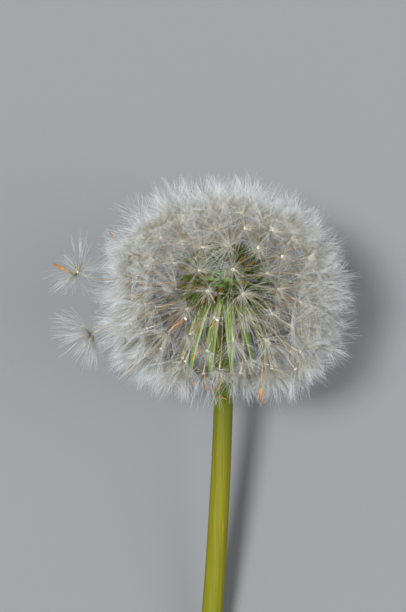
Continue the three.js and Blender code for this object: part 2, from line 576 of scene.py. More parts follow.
whorl = bmesh.new()
collar_place = Matrix.Translation((COLLAR_RADIUS, 0, COLLAR_HEIGHT))
bmesh.ops.create_circle(
    whorl,
    cap_ends=False,
    radius=COLLAR_THICKNESS,
    segments=COLLAR_SIDES,
    matrix=collar_place @ Matrix.Rotation(math.pi / 2, 4, "X"),
)
bmesh.ops.spin(
    whorl,
    geom=whorl.verts[:] + whorl.edges[:],
    axis=(0, 0, 1),
    cent=(0, 0, 0),
    angle=2 * math.pi,
    steps=COLLAR_STEPS,
    use_merge=True,
)
bmesh.ops.recalc_face_normals(whorl, faces=whorl.faces[:])
whorl_across = [0.0] * len(whorl.verts)
whorl_along = [0.0] * len(whorl.verts)
for number in range(OUTER_BRACTS):
    leaf_mesh, strip, corners = grown_bract(
        OUTER_BRACT_LINE,
        OUTER_BRACT_WIDTH,
        turn=number / OUTER_BRACTS * 2 * math.pi,
        curls=(-0.2, 0.5),
        sways=(-0.06, 0.06),
        twists=(-0.4, 0.4),
    )
    leaf_mesh.vertices.foreach_set("co", corners.ravel())
    whorl.from_mesh(leaf_mesh)
    whorl_across += list(strip[:, 0])
    whorl_along += list(strip[:, 2] / (BRACT_RINGS - 1))
bmesh.ops.transform(whorl, matrix=LAID_DOWN, verts=whorl.verts[:])
whorl_mesh = mesh_of(whorl, "whorl")
give_attribute(whorl_mesh, "across", whorl_across)
give_attribute(whorl_mesh, "along", whorl_along)
finished_piece("outer_bract_whorl", whorl_mesh, "bract", [bract_leaf], "outer_bracts")


# ---- Seeds ----
# Each seed grew as one piece: the achene, a ribbed ochre husk that stands on the receptacle, the
# beak, a thin stalk, and the parachute, about a hundred white hairs round a small pale hub.
# Every fourth seed has its own CAD node, and the seeds between them are made in groups.
SEEDS = 174
SEATED_NODES = 43
FILLER_GROUPS = 6
LOWEST_SEED = 31
# The parts of a seed from foot to end, with radii in mm. An achene's stations are shares of its
# length, and a hub's are mm past the top of the beak.
ACHENE_LENGTH = 3.9 * MM
ACHENE_RADII = [0.06, 0.26, 0.38, 0.44, 0.42, 0.32, 0.13]
ACHENE_STATIONS = np.array([0, 0.12, 0.35, 0.58, 0.78, 0.9, 1.0])[:, None]
BEAK_RADII = [0.13, 0.105, 0.10, 0.095, 0.095, 0.12]
BEAK_BOW = 0.6 * MM
HUB_RADII = [0.14, 0.31, 0.35, 0.26, 0.06]
HUB_STATIONS = np.array([-0.12, 0.02, 0.16, 0.28, 0.35])[:, None]
HAIR_RADII = [0.034, 0.017, 0.0105, 0.0085, 0.005]
HAIR_LENGTH = 7.2 * MM
HAIR_FOOT = 0.14 * MM
STRANDS = 44
HAIRS_IN_STRAND = 3
WISPS = 9
# The shell on which the hubs lie. It is fuller than an ellipsoid, most of all below its middle.
SHELL_RADIUS = 19.9 * MM
SHELL_HALF_HEIGHT = 16.6 * MM
SHELL_SET_BACK = 2.7 * MM
FULLNESS_ABOVE = 2.15
FULLNESS_BELOW = 4.4
LOWEST_NODE_LEVEL = -0.61
LOWEST_LEVEL = -0.87
GOLDEN_ANGLE = math.pi * (3 - math.sqrt(5))
SEAT_GAP = 0.3 * MM
NEIGHBOUR_REACH = 4.2 * MM
NEIGHBOUR_PUSH = 0.6
PUSH_ROUNDS = 160
# How the down has aged, by the way that a seed faces. Hairs are broken short where it was brushed
# against, on the side that lies up and over the top of the stem, and they cling together on the
# side that lies up. The down is tousled and drawn out on its blown side, closed and pressed in
# on its matted side, and sunk in a little at its crown.
WORN_WAY = np.array([0, -0.97, -0.24])
WORN_SHARE = 0.9
THIN_WAY = np.array([0, -0.6, -0.8])
THIN_SHARE = 0.8
BROKEN_LENGTHS = (0.2, 0.5)
CLINGING = 0.85
BLOWN_WAY = np.array([-0.75, 0, 0.66])
BLOWN_REACH = 0.05
MATTED_WAY = np.array([-0.62, -0.35, -0.70])
MATTED_CLOSING = 18
MATTED_SINKING = 0.17
CROWN_WAY = np.array([-0.3, 0, 0.954])
CROWN_SINKING = 0.05


def unit(vectors):
    """The same directions, one long."""
    return vectors / np.linalg.norm(vectors, axis=-1, keepdims=True)


def towards(directions, way):
    """How much each direction points a given way: 1 straight at it, 0 square to it or away."""
    return np.clip(directions @ way, 0, 1)


def hubs_at(level, turn, bulge=1):
    """Where parachute hubs are on the shell of the head, from their level and turn."""
    out = SHELL_RADIUS * bulge * np.sqrt(1 - level ** 2)
    up = level * SHELL_HALF_HEIGHT * bulge - SHELL_SET_BACK
    return np.stack([out * np.cos(turn), out * np.sin(turn), up], axis=-1)


def bulge_at(level):
    """How much fuller than an ellipsoid the head is at a level: most between side and bottom."""
    fullness = np.where(level < 0, FULLNESS_BELOW, FULLNESS_ABOVE)
    sides = np.sqrt(1 - level ** 2) ** fullness + np.abs(level) ** fullness
    return sides ** (-1 / fullness)


def spread_evenly(fixed, total, chance):
    """Adds hubs between the fixed ones and lets them push each other apart on the shell."""
    free = total - len(fixed)
    level = chance.uniform(LOWEST_LEVEL, 1, free)
    turn = chance.uniform(0, 2 * math.pi, free)
    hubs = np.concatenate([fixed, hubs_at(level, turn, bulge_at(level))])
    for _ in range(PUSH_ROUNDS):
        apart = hubs[:, None] - hubs[None]
        gap = np.linalg.norm(apart, axis=-1) + 0.01 * MM
        nearness = np.exp(-((gap / NEIGHBOUR_REACH) ** 2))
        push = (apart / gap[..., None] * nearness[..., None]).sum(1)
        hubs[len(fixed):] += push[len(fixed):] * NEIGHBOUR_PUSH * MM
        ball = unit(
            (hubs + (0, 0, SHELL_SET_BACK)) / (SHELL_RADIUS, SHELL_RADIUS, SHELL_HALF_HEIGHT)
        )
        turn = np.arctan2(ball[:, 1], ball[:, 0])
        level = np.clip(ball[:, 2], LOWEST_LEVEL, 1)
        hubs[len(fixed):] = hubs_at(level, turn, bulge_at(level))[len(fixed):]
    return hubs


def receptacle_reach(way):
    """How far the receptacle's surface is from its middle, in each direction."""
    height = np.where(way[:, 2] > 0, RECEPTACLE_RISE, RECEPTACLE_DROP)
    across = np.hypot(way[:, 0], way[:, 1]) / RECEPTACLE_RADIUS
    return 1 / np.hypot(across, way[:, 2] / height)


def bend_rods(rod_corners, lines, thickness=1):
    """Bends a copy of the rod along each line, which has a point for every ring of the rod."""
    ring = np.rint(rod_corners[:, 2]).astype(int)
    way = unit(np.gradient(lines, axis=-2))
    whole = lines[..., -1, :] - lines[..., 0, :]
    least = np.eye(3)[np.abs(whole).argmin(-1)]
    side = unit(np.cross(least[..., None, :], way))
    up = np.cross(way, side)
    return (
        lines[..., ring, :]
        + rod_corners[:, 0, None] * side[..., ring, :] * thickness
        + rod_corners[:, 1, None] * up[..., ring, :] * thickness
    )


# Tufts: how many waves of pull cross the down, how far apart their crests are, and how strongly
# they pull, in square millimetres.
TUFT_WAVES = 26
TUFT_SPACING = (2.6 * MM, 5.2 * MM)
TUFT_PULL = 0.06 * MM * MM


def gathered(points, strength, chance):
    """Draws hair ends together into tufts, as hairs of neighbouring parachutes cling together."""
    moved = points.copy()
    for _ in range(TUFT_WAVES):
        wave = unit(chance.normal(size=3)) * 2 * math.pi / chance.uniform(*TUFT_SPACING)
        phase = chance.uniform(0, 2 * math.pi)
        swing = np.sin(points @ wave + phase)
        moved -= strength[..., None] * swing[..., None] * wave * TUFT_PULL
    return moved


# How high above the surface the hairs begin to bend, and how high they lie on it.
FLOOR_REACH = 1.2 * MM
LEAST_HEIGHT = 0.035 * MM


def pressed_on_surface(points):
    """Hairs that reach the surface bend and lie flat on it."""
    low = FLOOR_REACH * np.exp(np.minimum(points[..., 2] / FLOOR_REACH - 1, 0))
    height = np.where(points[..., 2] < FLOOR_REACH, low, points[..., 2])
    height = np.maximum(height, LEAST_HEIGHT)
    return np.concatenate([points[..., :2], height[..., None]], axis=-1)


# How the hairs of a parachute lie. A strand and a wisp may stand off their even places round the
# hub by these shares of the step between two. Leans and closing are in degrees, turns in radians.
STRAND_OFF = 0.6
STRAND_LEAN_LIMITS = (-50, 20)
STRAND_CLOSING = (-4, 40)
STRAND_TURN_SPREAD = 0.16
SEATED_SCATTER = 9
WISP_OFF = 0.35
WISP_CLOSING = (8, 34)
RAGGED_WISP_CLOSING = 26
WISP_PULL = 1.2
HAIR_TURN_SPREAD = 0.10
HAIR_LEAN_SPREAD = 5
LOOSE_TURN_SPREAD = 0.14
LOOSE_LEAN_SPREAD = 9
HAIR_BEND_POWER = 0.6
HAIR_LENGTHS = (0.8, 1.06)
LOCK_LENGTHS = (0.55, 1.55)
LOCKS_ALL_ROUND = 0.15
HAIR_SINKING = 1.2


def parachute_lines(hub, facing, openness, scatter, size, chance):
    """The middle lines of all hairs of each parachute, in the head's frame.

    Hairs cling together by threes into strands, and some strands lean together into wisps. On
    the worn sides of the head, many hairs are broken short.
    """
    count = len(hub)
    circle = 2 * math.pi
    steps = len(HAIR_RADII) - 1
    middle_share = (np.arange(steps) + 0.5) / steps
    blown = towards(facing, BLOWN_WAY)[:, None]
    matted = towards(facing, MATTED_WAY)[:, None]
    tousled = blown ** 3
    ragged = chance.uniform(0, 1, (count, 1)) ** (2 - 1.5 * np.maximum(blown, matted))

    # Each strand leaves the hub with a turn and a lean, and closes up towards its end.
    off = chance.uniform(-STRAND_OFF, STRAND_OFF, (count, STRANDS))
    turn = (np.arange(STRANDS) + off) / STRANDS * circle
    off = chance.normal(0, scatter, (count, STRANDS)).clip(*STRAND_LEAN_LIMITS)
    lean = openness[:, None] + off
    closing = chance.uniform(*STRAND_CLOSING, (count, STRANDS))
    lean_end = lean - closing * SEATED_SCATTER / scatter

    # Its end is drawn towards the nearest wisp, more so on ragged and on tousled parachutes.
    off = chance.uniform(-WISP_OFF, WISP_OFF, (count, WISPS))
    wisp_turn = (np.arange(WISPS) + off) / WISPS * circle
    most_closing = WISP_CLOSING[1] + RAGGED_WISP_CLOSING * ragged
    wisp_lean = openness[:, None] - chance.uniform(WISP_CLOSING[0], most_closing, (count, WISPS))
    off = (wisp_turn[:, None] - turn[..., None] + math.pi) % circle - math.pi
    nearest = np.abs(off).argmin(-1)[..., None]
    off = np.take_along_axis(off, nearest, -1)[..., 0]
    nearest_lean = np.take_along_axis(wisp_lean, nearest[..., 0], -1)
    drawn = chance.uniform(0, 1, (count, STRANDS)) ** (1.8 - 1.2 * ragged - 0.4 * tousled)
    lean_end = lean_end + (nearest_lean - lean_end) * drawn
    turn_end = turn + off * drawn * WISP_PULL
    turn_end = turn_end + chance.normal(0, STRAND_TURN_SPREAD, (count, STRANDS))

    # The hairs of a strand part a little, and more so if the strand is loose.
    turn, lean, turn_end, lean_end = (
        np.repeat(kind, HAIRS_IN_STRAND, axis=1) for kind in (turn, lean, turn_end, lean_end)
    )
    loose = np.repeat(chance.uniform(0.1, 1, (count, STRANDS)) ** 1.5, HAIRS_IN_STRAND, axis=1)
    turn = turn + chance.normal(0, HAIR_TURN_SPREAD, turn.shape)
    lean = np.radians(lean + chance.normal(0, HAIR_LEAN_SPREAD, turn.shape))
    turn_end = turn_end + chance.normal(0, LOOSE_TURN_SPREAD, turn.shape) * loose
    lean_end = np.radians(lean_end + chance.normal(0, LOOSE_LEAN_SPREAD, turn.shape) * loose)
    bend_share = middle_share ** HAIR_BEND_POWER
    leans = lean[..., None] + (lean_end - lean)[..., None] * bend_share
    turns = turn[..., None] + (turn_end - turn)[..., None] * bend_share

    # Each hair has a length of its own, times one that its wisp shares. Worn hairs are broken.
    locks = np.random.default_rng(16).uniform(*LOCK_LENGTHS, (count, WISPS))
    locks = np.take_along_axis(locks, nearest[..., 0], -1)
    locks = 1 + (locks - 1) * (LOCKS_ALL_ROUND + tousled)
    length = HAIR_LENGTH * size * chance.uniform(*HAIR_LENGTHS, turn.shape)
    length = length * np.repeat(locks, HAIRS_IN_STRAND, axis=1)
    worn = towards(facing, WORN_WAY)[:, None] ** 4 * WORN_SHARE
    worn = np.maximum(worn, towards(facing, THIN_WAY)[:, None] ** 8 * THIN_SHARE)
    broken = chance.uniform(0, 1, turn.shape) < worn
    length = np.where(broken, length * chance.uniform(*BROKEN_LENGTHS, turn.shape), length)

    # The steps of each line, turned to where its parachute faces. Some hairs sink down the head.
    ways = [np.sin(leans) * np.cos(turns), np.sin(leans) * np.sin(turns), np.cos(leans)]
    side = unit(np.cross(facing, np.eye(3)[np.abs(facing).argmin(-1)]))
    up = np.cross(facing, side)
    axes = np.stack([side, up, facing], axis=1)
    ways = np.einsum("nhsk,nkd->nhsd", np.stack(ways, -1), axes)
    sinking = chance.uniform(0, 1, (count, 1, 1)) ** 1.5
    sinking = sinking * chance.uniform(0, HAIR_SINKING, (*turn.shape, 1))
    ways = unit(ways + np.array([0, 0, -1]) * (sinking * middle_share)[..., None])
    line = np.concatenate([np.zeros((*turn.shape, 1, 3)), ways.cumsum(2)], axis=2)
    foot = hub + facing * HAIR_FOOT
    return foot[:, None, None] + line * (length / steps)[..., None, None]


ACHENE_ROD = rod(10, [r * MM for r in ACHENE_RADII])
BEAK_ROD = rod(5, [r * MM for r in BEAK_RADII])
HUB_ROD = rod(8, [r * MM for r in HUB_RADII])
HAIR_ROD = rod(3, [r * MM for r in HAIR_RADII])


def add_rods(shape, rod_mesh, copies, material_index):
    """Adds copies of a rod to a shape, all of one material."""
    for _ in range(copies):
        before = len(shape.faces)
        shape.from_mesh(rod_mesh)
        shape.faces.ensure_lookup_table()
        for face in shape.faces[before:]:
            face.material_index = material_index


# One seed as a pattern for all: its achene, beak, hub and hairs, with their materials.
seed_shape = bmesh.new()
for material_index, part in enumerate((ACHENE_ROD, BEAK_ROD, HUB_ROD)):
    add_rods(seed_shape, part, 1, material_index)
add_rods(seed_shape, HAIR_ROD, STRANDS * HAIRS_IN_STRAND, 3)
SEED_PATTERN = mesh_of(seed_shape, "whole_seed")


def seed_corners(seat, achene_way, hub, openness, scatter, size, tilt, leant, chance):
    """Corners of whole seeds, and for each corner how far along its own part it is and a shade."""
    count = len(seat)
    top = seat + achene_way * ACHENE_LENGTH
    achenes = seat[:, None] + achene_way[:, None] * ACHENE_LENGTH * ACHENE_STATIONS
    bow = chance.normal(0, BEAK_BOW, (count, 1, 3))
    share = np.linspace(0, 1, len(BEAK_RADII))[:, None]
    beaks = top[:, None] + (hub - top)[:, None] * share + bow * np.sin(math.pi * share)
    facing = unit(unit(hub - beaks[:, -2]) + chance.normal(0, 1, (count, 3)) * tilt + leant)
    hubs = hub[:, None] + facing[:, None] * HUB_STATIONS * MM
    hairs = laid_down(parachute_lines(hub, facing, openness, scatter, size, chance))
    free_share = np.broadcast_to(np.linspace(0, 1, len(HAIR_RADII)) ** 2, hairs.shape[:-1])
    hairs = gathered(hairs, free_share, np.random.default_rng(21))
    clung = 1 + CLINGING * np.sin(np.pi * np.clip(-facing[:, 1], 0, 1) ** 0.8)
    parts = [
        (ACHENE_ROD, laid_down(achenes)[:, None], 1),
        (BEAK_ROD, laid_down(beaks)[:, None], 1),
        (HUB_ROD, laid_down(hubs)[:, None], 1),
        (HAIR_ROD, hairs, clung[:, None, None, None]),
    ]
    corners, along, shade = [], [], []
    for part, lines, thickness in parts:
        rod_corners = corners_of(part)
        bent = bend_rods(rod_corners, pressed_on_surface(lines), thickness)
        corners.append(bent.reshape(count, -1, 3))
        share = rod_corners[:, 2] / rod_corners[:, 2].max()
        along.append(np.broadcast_to(share, bent.shape[:-1]).reshape(count, -1))
        tone = chance.uniform(0, 1, (count, lines.shape[1], 1))
        shade.append(np.broadcast_to(tone, bent.shape[:-1]).reshape(count, -1))
    return [np.concatenate(kind, axis=1) for kind in (corners, along, shade)]


# The flat map of the seeds: where the strips of the achenes, beaks, hubs and hairs start, how
# wide each is, and the last ring of each part.
MAP_STRIPS = np.array([(0, 0.3), (0.3, 0.14), (0.44, 0.08), (0.52, 0.48)])
LAST_RINGS = np.array([len(r) - 1 for r in (ACHENE_RADII, BEAK_RADII, HUB_RADII, HAIR_RADII)])


def numbers_of(items, name):
    """One whole number for each item of a mesh."""
    found = np.empty(len(items), np.int32)
    items.foreach_get(name, found)
    return found


def inside(share, margin):
    """A share of a strip, kept clear of the strip's edges by a margin."""
    return margin + (1 - 2 * margin) * share


def lay_flat(mesh, shade):
    """Lays the seeds out on the flat map on which baked colours are painted.

    Each part has an upright strip of the map: the achenes, beaks and hubs are unrolled side by
    side in theirs, and the hairs lie on each other in theirs, each at its own shade.
    """
    pattern = corners_of(SEED_PATTERN)
    sides = numbers_of(mesh.polygons, "loop_total")
    first = numbers_of(mesh.polygons, "loop_start")
    part = np.repeat(numbers_of(mesh.polygons, "material_index"), sides)
    seed, place = np.divmod(numbers_of(mesh.loops, "vertex_index"), len(pattern))
    x, y, ring = pattern[place].T
    around = np.round(np.arctan2(y, x) / (2 * math.pi), 4) % 1
    across_seam = np.maximum.reduceat(around, first) - np.minimum.reduceat(around, first) > 0.5
    around = around + (np.repeat(across_seam, sides) & (around < 0.5))
    side_by_side = (seed + inside(around, 0.03)) / len(shade)
    by_shade = inside(shade[seed, place], 0.03) + 0.02 * np.cos(2 * math.pi * around + 0.35)
    left, width = MAP_STRIPS[part].T
    across = left + width * inside(np.where(part == 3, by_shade, side_by_side), 0.02)
    up = inside(ring / LAST_RINGS[part], 0.01)
    flat_map = mesh.uv_layers.new(name="OFBake", do_init=False)
    flat_map.uv.foreach_set("vector", np.stack([across, up], axis=1).astype(np.float32).ravel())


# Husk of a ripe achene: dry and ochre, still olive on some and greener towards the beak. Its
# ribs and small teeth are 0.2 mm apart, drawn as a grain of 0.3 mm so that they show.
achene_husk = new_material("achene_dry_husk", {"IOR": 1.45})
place = add_node(achene_husk, "TexCoord")
along = add_node(achene_husk, "Attribute", settings={"attribute_name": "along"})
shade = add_node(achene_husk, "Attribute", settings={"attribute_name": "shade"})
husk_grain = add_node(
    achene_husk, "TexNoise", {"Vector": place.outputs["Object"], "Scale": 3.2 / MM, "Detail": 3}
)
husk_ripeness = add_node(
    achene_husk,
    "Math",
    {0: husk_grain.outputs["Fac"], 1: 0.35, 2: shade.outputs["Fac"]},
    {"operation": "MULTIPLY_ADD"},
)
husk_colour = add_node(
    achene_husk,
    "ValToRGB",
    {"Fac": husk_ripeness.outputs[0]},
    stops=[(0.1, "#364f14"), (1.0, "#86641a"), (0.62, "#566316")],
)
husk_top = add_node(
    achene_husk,
    "MapRange",
    {"Value": along.outputs["Fac"], "From Min": 0.55, "From Max": 1.0, "To Max": 0.6},
)
husk_tipped = add_node(
    achene_husk,
    "Mix",
    {0: husk_top.outputs[0], 6: husk_colour.outputs[0], 7: paint("#5a7c1c")},
    {"data_type": "RGBA"},
)
finish_surface(
    achene_husk,
    husk_tipped.outputs[2],
    husk_grain.outputs["Fac"],
    dullness=(0.5, 0.75),
    bump=(0.6, 0.08 * MM),
)

# Beak: a dry straw with a fine grain, green near the achene, tan to pinkish brown above it and
# pale at the hub.
beak_straw = new_material("beak_dry_straw", {"IOR": 1.45})
place = add_node(beak_straw, "TexCoord")
along = add_node(beak_straw, "Attribute", settings={"attribute_name": "along"})
straw_grain = add_node(
    beak_straw, "TexNoise", {"Vector": place.outputs["Object"], "Scale": 1.5 / MM, "Detail": 2}
)
straw_place = add_node(
    beak_straw,
    "Math",
    {0: straw_grain.outputs["Fac"], 1: 0.2, 2: along.outputs["Fac"]},
    {"operation": "MULTIPLY_ADD"},
)
straw_colour = add_node(
    beak_straw,
    "ValToRGB",
    {"Fac": straw_place.outputs[0]},
    stops=[(0.12, "#6d7a3a"), (1.0, "#d2c0a0"), (0.40, "#9a7e56"), (0.90, "#b29a7b")],
)
finish_surface(
    beak_straw,
    straw_colour.outputs[0],
    straw_grain.outputs["Fac"],
    dullness=(0.4, 0.6),
    bump=(0.3, 0.02 * MM),
)

# Hub: cream pith, softly pitted, with a brown dot in the middle of its top.
hub_pith = new_material("hub_cream_pith", {"IOR": 1.4})
place = add_node(hub_pith, "TexCoord")
along = add_node(hub_pith, "Attribute", settings={"attribute_name": "along"})
hub_colour = add_node(
    hub_pith,
    "ValToRGB",
    {"Fac": along.outputs["Fac"]},
    stops=[(0.0, "#b89d72"), (0.98, "#74502c"), (0.42, "#efe5cf"), (0.88, "#fcf8ec")],
)
hub_grain = add_node(
    hub_pith, "TexNoise", {"Vector": place.outputs["Object"], "Scale": 6 / MM, "Detail": 2}
)
finish_surface(
    hub_pith,
    hub_colour.outputs[0],
    hub_grain.outputs["Fac"],
    dullness=(0.5, 0.7),
    bump=(0.4, 0.04 * MM),
)

# Parachute hair: a dry silky fibre with tiny barbs, white at the hub and silver at its end. The
# grey-tan stops between, which every hair passes in its middle and some reach at the hub by their
# own tone, are painted shade of the inner down. The barbs are 0.1 mm apart, drawn at 0.2 mm.
silky_down = new_material(
    "parachute_silky_down", {"IOR": 1.5, "Sheen Weight": 0.3, "Sheen Roughness": 0.4}
)
place = add_node(silky_down, "TexCoord")
along = add_node(silky_down, "Attribute", settings={"attribute_name": "along"})
shade = add_node(silky_down, "Attribute", settings={"attribute_name": "shade"})
hair_place = add_node(
    silky_down,
    "Math",
    {0: shade.outputs["Fac"], 1: 0.5, 2: along.outputs["Fac"]},
    {"operation": "MULTIPLY_ADD"},
)
# The grey-tan stops are painted shade of the inner down, where the hairs lie deep.
hair_colour_and_shade = add_node(
    silky_down,
    "ValToRGB",
    {"Fac": hair_place.outputs[0]},
    stops=[(0.0, "#fffbee"), (1.0, "#e8edf0"), (0.35, "#b4ab8c"), (0.75, "#b6b5a8")],
)
barbs = add_node(
    silky_down, "TexNoise", {"Vector": place.outputs["Object"], "Scale": 5 / MM, "Detail": 1}
)
finish_surface(
    silky_down,
    hair_colour_and_shade.outputs[0],
    barbs.outputs["Fac"],
    dullness=(0.35, 0.55),
    bump=(0.3, 0.02 * MM),
)


def show_seeds(name, seeds, rows, *stood_for):
    """Shows some rows of seeds, of which corners, along and shade are known, as one piece."""
    corners, along, shade = (kind[rows] for kind in seeds)
    shape = bmesh.new()
    for _ in rows:
        shape.from_mesh(SEED_PATTERN)
    mesh = mesh_of(shape, "seeds")
    mesh.vertices.foreach_set("co", corners.ravel())
    give_attribute(mesh, "along", along.ravel())
    give_attribute(mesh, "shade", shade.ravel())
    lay_flat(mesh, shade)
    materials = [achene_husk, beak_straw, hub_pith, silky_down]
    finished_piece(name, mesh, "seed", materials, *stood_for)


# Seeds with a node keep the node's seat and hub, which lie on a spiral round the head.
numbers = np.arange(SEATED_NODES)
node_levels = 1 - (numbers + 0.5) / SEATED_NODES * (1 - LOWEST_NODE_LEVEL)
node_turns = (numbers - LOWEST_SEED + 1) * GOLDEN_ANGLE + math.pi / 2
wind = np.random.default_rng(165)
hubs = spread_evenly(hubs_at(node_levels, node_turns), SEEDS, wind)
ways = unit(hubs)

# The seeds between them stand at different depths. The lowest of them are seated twice as close,
# because the receptacle's underside carries the bracts and has no room for them.
LOWEST_SEATS = -0.45
LOW_SEAT_SPACING = 0.5
FILLER_DEPTHS = (0.93, 1.005)
filler_ways = ways[SEATED_NODES:]
level = filler_ways[:, 2]
seat_level = np.where(
    level < LOWEST_SEATS, LOWEST_SEATS + (level - LOWEST_SEATS) * LOW_SEAT_SPACING, level
)
widening = np.sqrt(1 - seat_level ** 2) / np.hypot(filler_ways[:, 0], filler_ways[:, 1])
ways[SEATED_NODES:] = np.stack(
    [filler_ways[:, 0] * widening, filler_ways[:, 1] * widening, seat_level], axis=1
)

# They are also drawn out or sunk in by where they stand, and all seeds close up on the matted
# side. Openness is in degrees: its mean and its spread.
OPENNESS = (72, 5)
SEATED_TILT = 0.1
hubs[SEATED_NODES:] *= wind.uniform(*FILLER_DEPTHS, (SEEDS - SEATED_NODES, 1))
drawn_out = towards(filler_ways, BLOWN_WAY) ** 2 * BLOWN_REACH
drawn_out = drawn_out - towards(filler_ways, CROWN_WAY) ** 8 * CROWN_SINKING
matted = towards(ways, MATTED_WAY) ** 2
pressed_in = matted[SEATED_NODES:] * wind.uniform(0, MATTED_SINKING, SEEDS - SEATED_NODES)
hubs[SEATED_NODES:] *= 1 + (drawn_out - pressed_in)[:, None]
seats = ways * (receptacle_reach(ways) + SEAT_GAP)[:, None]
openness = wind.normal(*OPENNESS, SEEDS) - MATTED_CLOSING * matted * wind.uniform(0, 2, SEEDS)
seated = seed_corners(
    seats, ways, hubs, openness, SEATED_SCATTER, size=1, tilt=SEATED_TILT, leant=0, chance=wind
)
for number in range(SEATED_NODES):
    name = "seed_%02d" % (number + 1)
    show_seeds("ripe_" + name, seated, [number], name)
fillers = np.arange(SEATED_NODES, SEEDS)
fillers = fillers[np.argsort(-hubs[fillers, 2])]
for number, group in enumerate(np.array_split(fillers, FILLER_GROUPS)):
    show_seeds("ripe_seeds_between_%d" % (number + 1), seated, group)


# ---- Slipped seeds ----
# Two seeds have left their seats and hang in the down of their neighbours: the same husk, beak
# and hairs, drawn out past the shell of the head. Their husks are the ripest, and their hairs
# turn silver soonest.
SLIPPED_BEAK = 10 * MM
SLIPPED_HUBS = np.array([[-28.5, -1.0, 1.0], [-25.7, -1.0, -10.7]]) * MM
SLIPPED_FACING = unit(np.array([[-0.996, 0, 0.087], [-0.797, -0.087, -0.598]]))
SLIPPED_LEAN = np.array([[0.15, -0.75, 0.1], [0.1, -0.25, 0]])
SLIPPED_TILT = 0.02
SLIPPED_OPENNESS = np.array([80, 66])
SLIPPED_SCATTER = 24
SLIPPED_HAIR_SIZE = np.array([[0.96], [1.06]])
SLIPPED_LEAST_SHADE = 0.75

corners, along_part, shade_part = seed_corners(
    SLIPPED_HUBS - SLIPPED_FACING * (ACHENE_LENGTH + SLIPPED_BEAK),
    SLIPPED_FACING,
    SLIPPED_HUBS,
    SLIPPED_OPENNESS,
    scatter=SLIPPED_SCATTER,
    size=SLIPPED_HAIR_SIZE,
    tilt=SLIPPED_TILT,
    leant=SLIPPED_LEAN,
    chance=wind,
)
slipped = (corners, along_part, np.maximum(shade_part, SLIPPED_LEAST_SHADE))
for number in range(len(SLIPPED_HUBS)):
    show_seeds(
        "ripe_seed_slipped_%d" % (number + 1), slipped, [number], "slipped_seed_%d" % (number + 1)
    )


# ---- Stray achenes and broken beaks ----
# Dry orange pieces of older seeds, caught in the down: bits of beak, two with the knob of the
# hub still on, two with their achene and one frayed. Each is a separate loose piece.
# Where each one starts, in mm to the right of the stem's axis and above the middle of the
# receptacle, then its length in mm, and its lean from straight down, in degrees to the left.
STRAY_BEAKS = [
    (-7.6, -7.8, 2.7, 60, "knob"),
    (-1.8, -8.1, 2.0, 40, "knob"),
    (-4.5, -12.9, 3.1, 38, "bare"),
    (6.9, -14.5, 6.0, 4, "achene"),
    (-0.4, -17.6, 4.0, 18, "bare"),
    (-3.8, -17.8, 3.4, -2, "bare"),
    (-2.5, -20.4, 1.8, 0, "bare"),
    (-1.2, -22.4, 1.7, -57, "frayed"),
    (-6.2, -19.5, 1.3, 24, "bare"),
    (-11.6, -18.4, 2.6, 9, "bare"),
    (-17.3, -16.7, 2.5, 52, "bare"),
    (-22.3, 8.9, 2.0, -37, "bare"),
    (-16.5, -1.4, 3.0, -80, "bare"),
    (-8.3, 8.1, 2.7, -66, "bare"),
    (-29.4, 0.8, 1.5, 117, "achene"),
]
STRAY_RADII = [0.12, 0.14, 0.12, 0.11, 0.10]
STRAY_BOW = 0.12 * MM
STRAY_ACHENE_SIZE = 0.7
FRAYED_HAIRS = 16
FRAYED_WAY = (0.1, -0.2, -1)
FRAYED_SPREAD = 0.28
FRAYED_LENGTHS = (1.4, 2.6)
# How far in front of the stem's axis they lie: just in front of the down, and by fixed depths
# for those left of the head, on a slipped seed, and those below it, on the stem.
DOWN_DEPTH_SHARE = 1.06
LEAST_DOWN_DEPTH = 3.5 * MM
LOWEST_DOWN_LEVEL = -0.85
LEFT_OF_HEAD = -25
LEFT_DEPTH = 3.0 * MM
BELOW_HEAD = -20
STEM_DEPTH = 3.7 * MM
STRAY_ROD = rod(6, [r * MM for r in STRAY_RADII])
STRAY_ACHENE_ROD = rod(10, [r * STRAY_ACHENE_SIZE * MM for r in ACHENE_RADII])


def front_of_head(right, up):
    """How far in front of the stem's axis the down reaches, right of and up from its middle."""
    level = max((up + SHELL_SET_BACK) / SHELL_HALF_HEIGHT, LOWEST_DOWN_LEVEL)
    depth = (SHELL_RADIUS * bulge_at(level)) ** 2 * (1 - level ** 2) - right ** 2
    return math.sqrt(max(depth, LEAST_DOWN_DEPTH ** 2))


# Weathered straw: orange to red-brown, with a dull skin, wrinkled every 0.4 mm.
old_straw = new_material("stray_weathered_straw", {"IOR": 1.45})
place = add_node(old_straw, "TexCoord")
wrinkles = add_node(
    old_straw, "TexNoise", {"Vector": place.outputs["Object"], "Scale": 2.6 / MM, "Detail": 3}
)
along = add_node(old_straw, "Attribute", settings={"attribute_name": "along"})
weathering = add_node(
    old_straw,
    "Math",
    {0: wrinkles.outputs["Fac"], 1: 0.7, 2: along.outputs["Fac"]},
    {"operation": "MULTIPLY_ADD"},
)
old_colour = add_node(
    old_straw,
    "ValToRGB",
    {"Fac": weathering.outputs[0]},
    stops=[(0.2, "#8a4a1c"), (1.0, "#bd8c3e"), (0.7, "#a4662a")],
)
finish_surface(
    old_straw,
    old_colour.outputs[0],
    wrinkles.outputs["Fac"],
    dullness=(0.45, 0.7),
    bump=(0.5, 0.05 * MM),
)

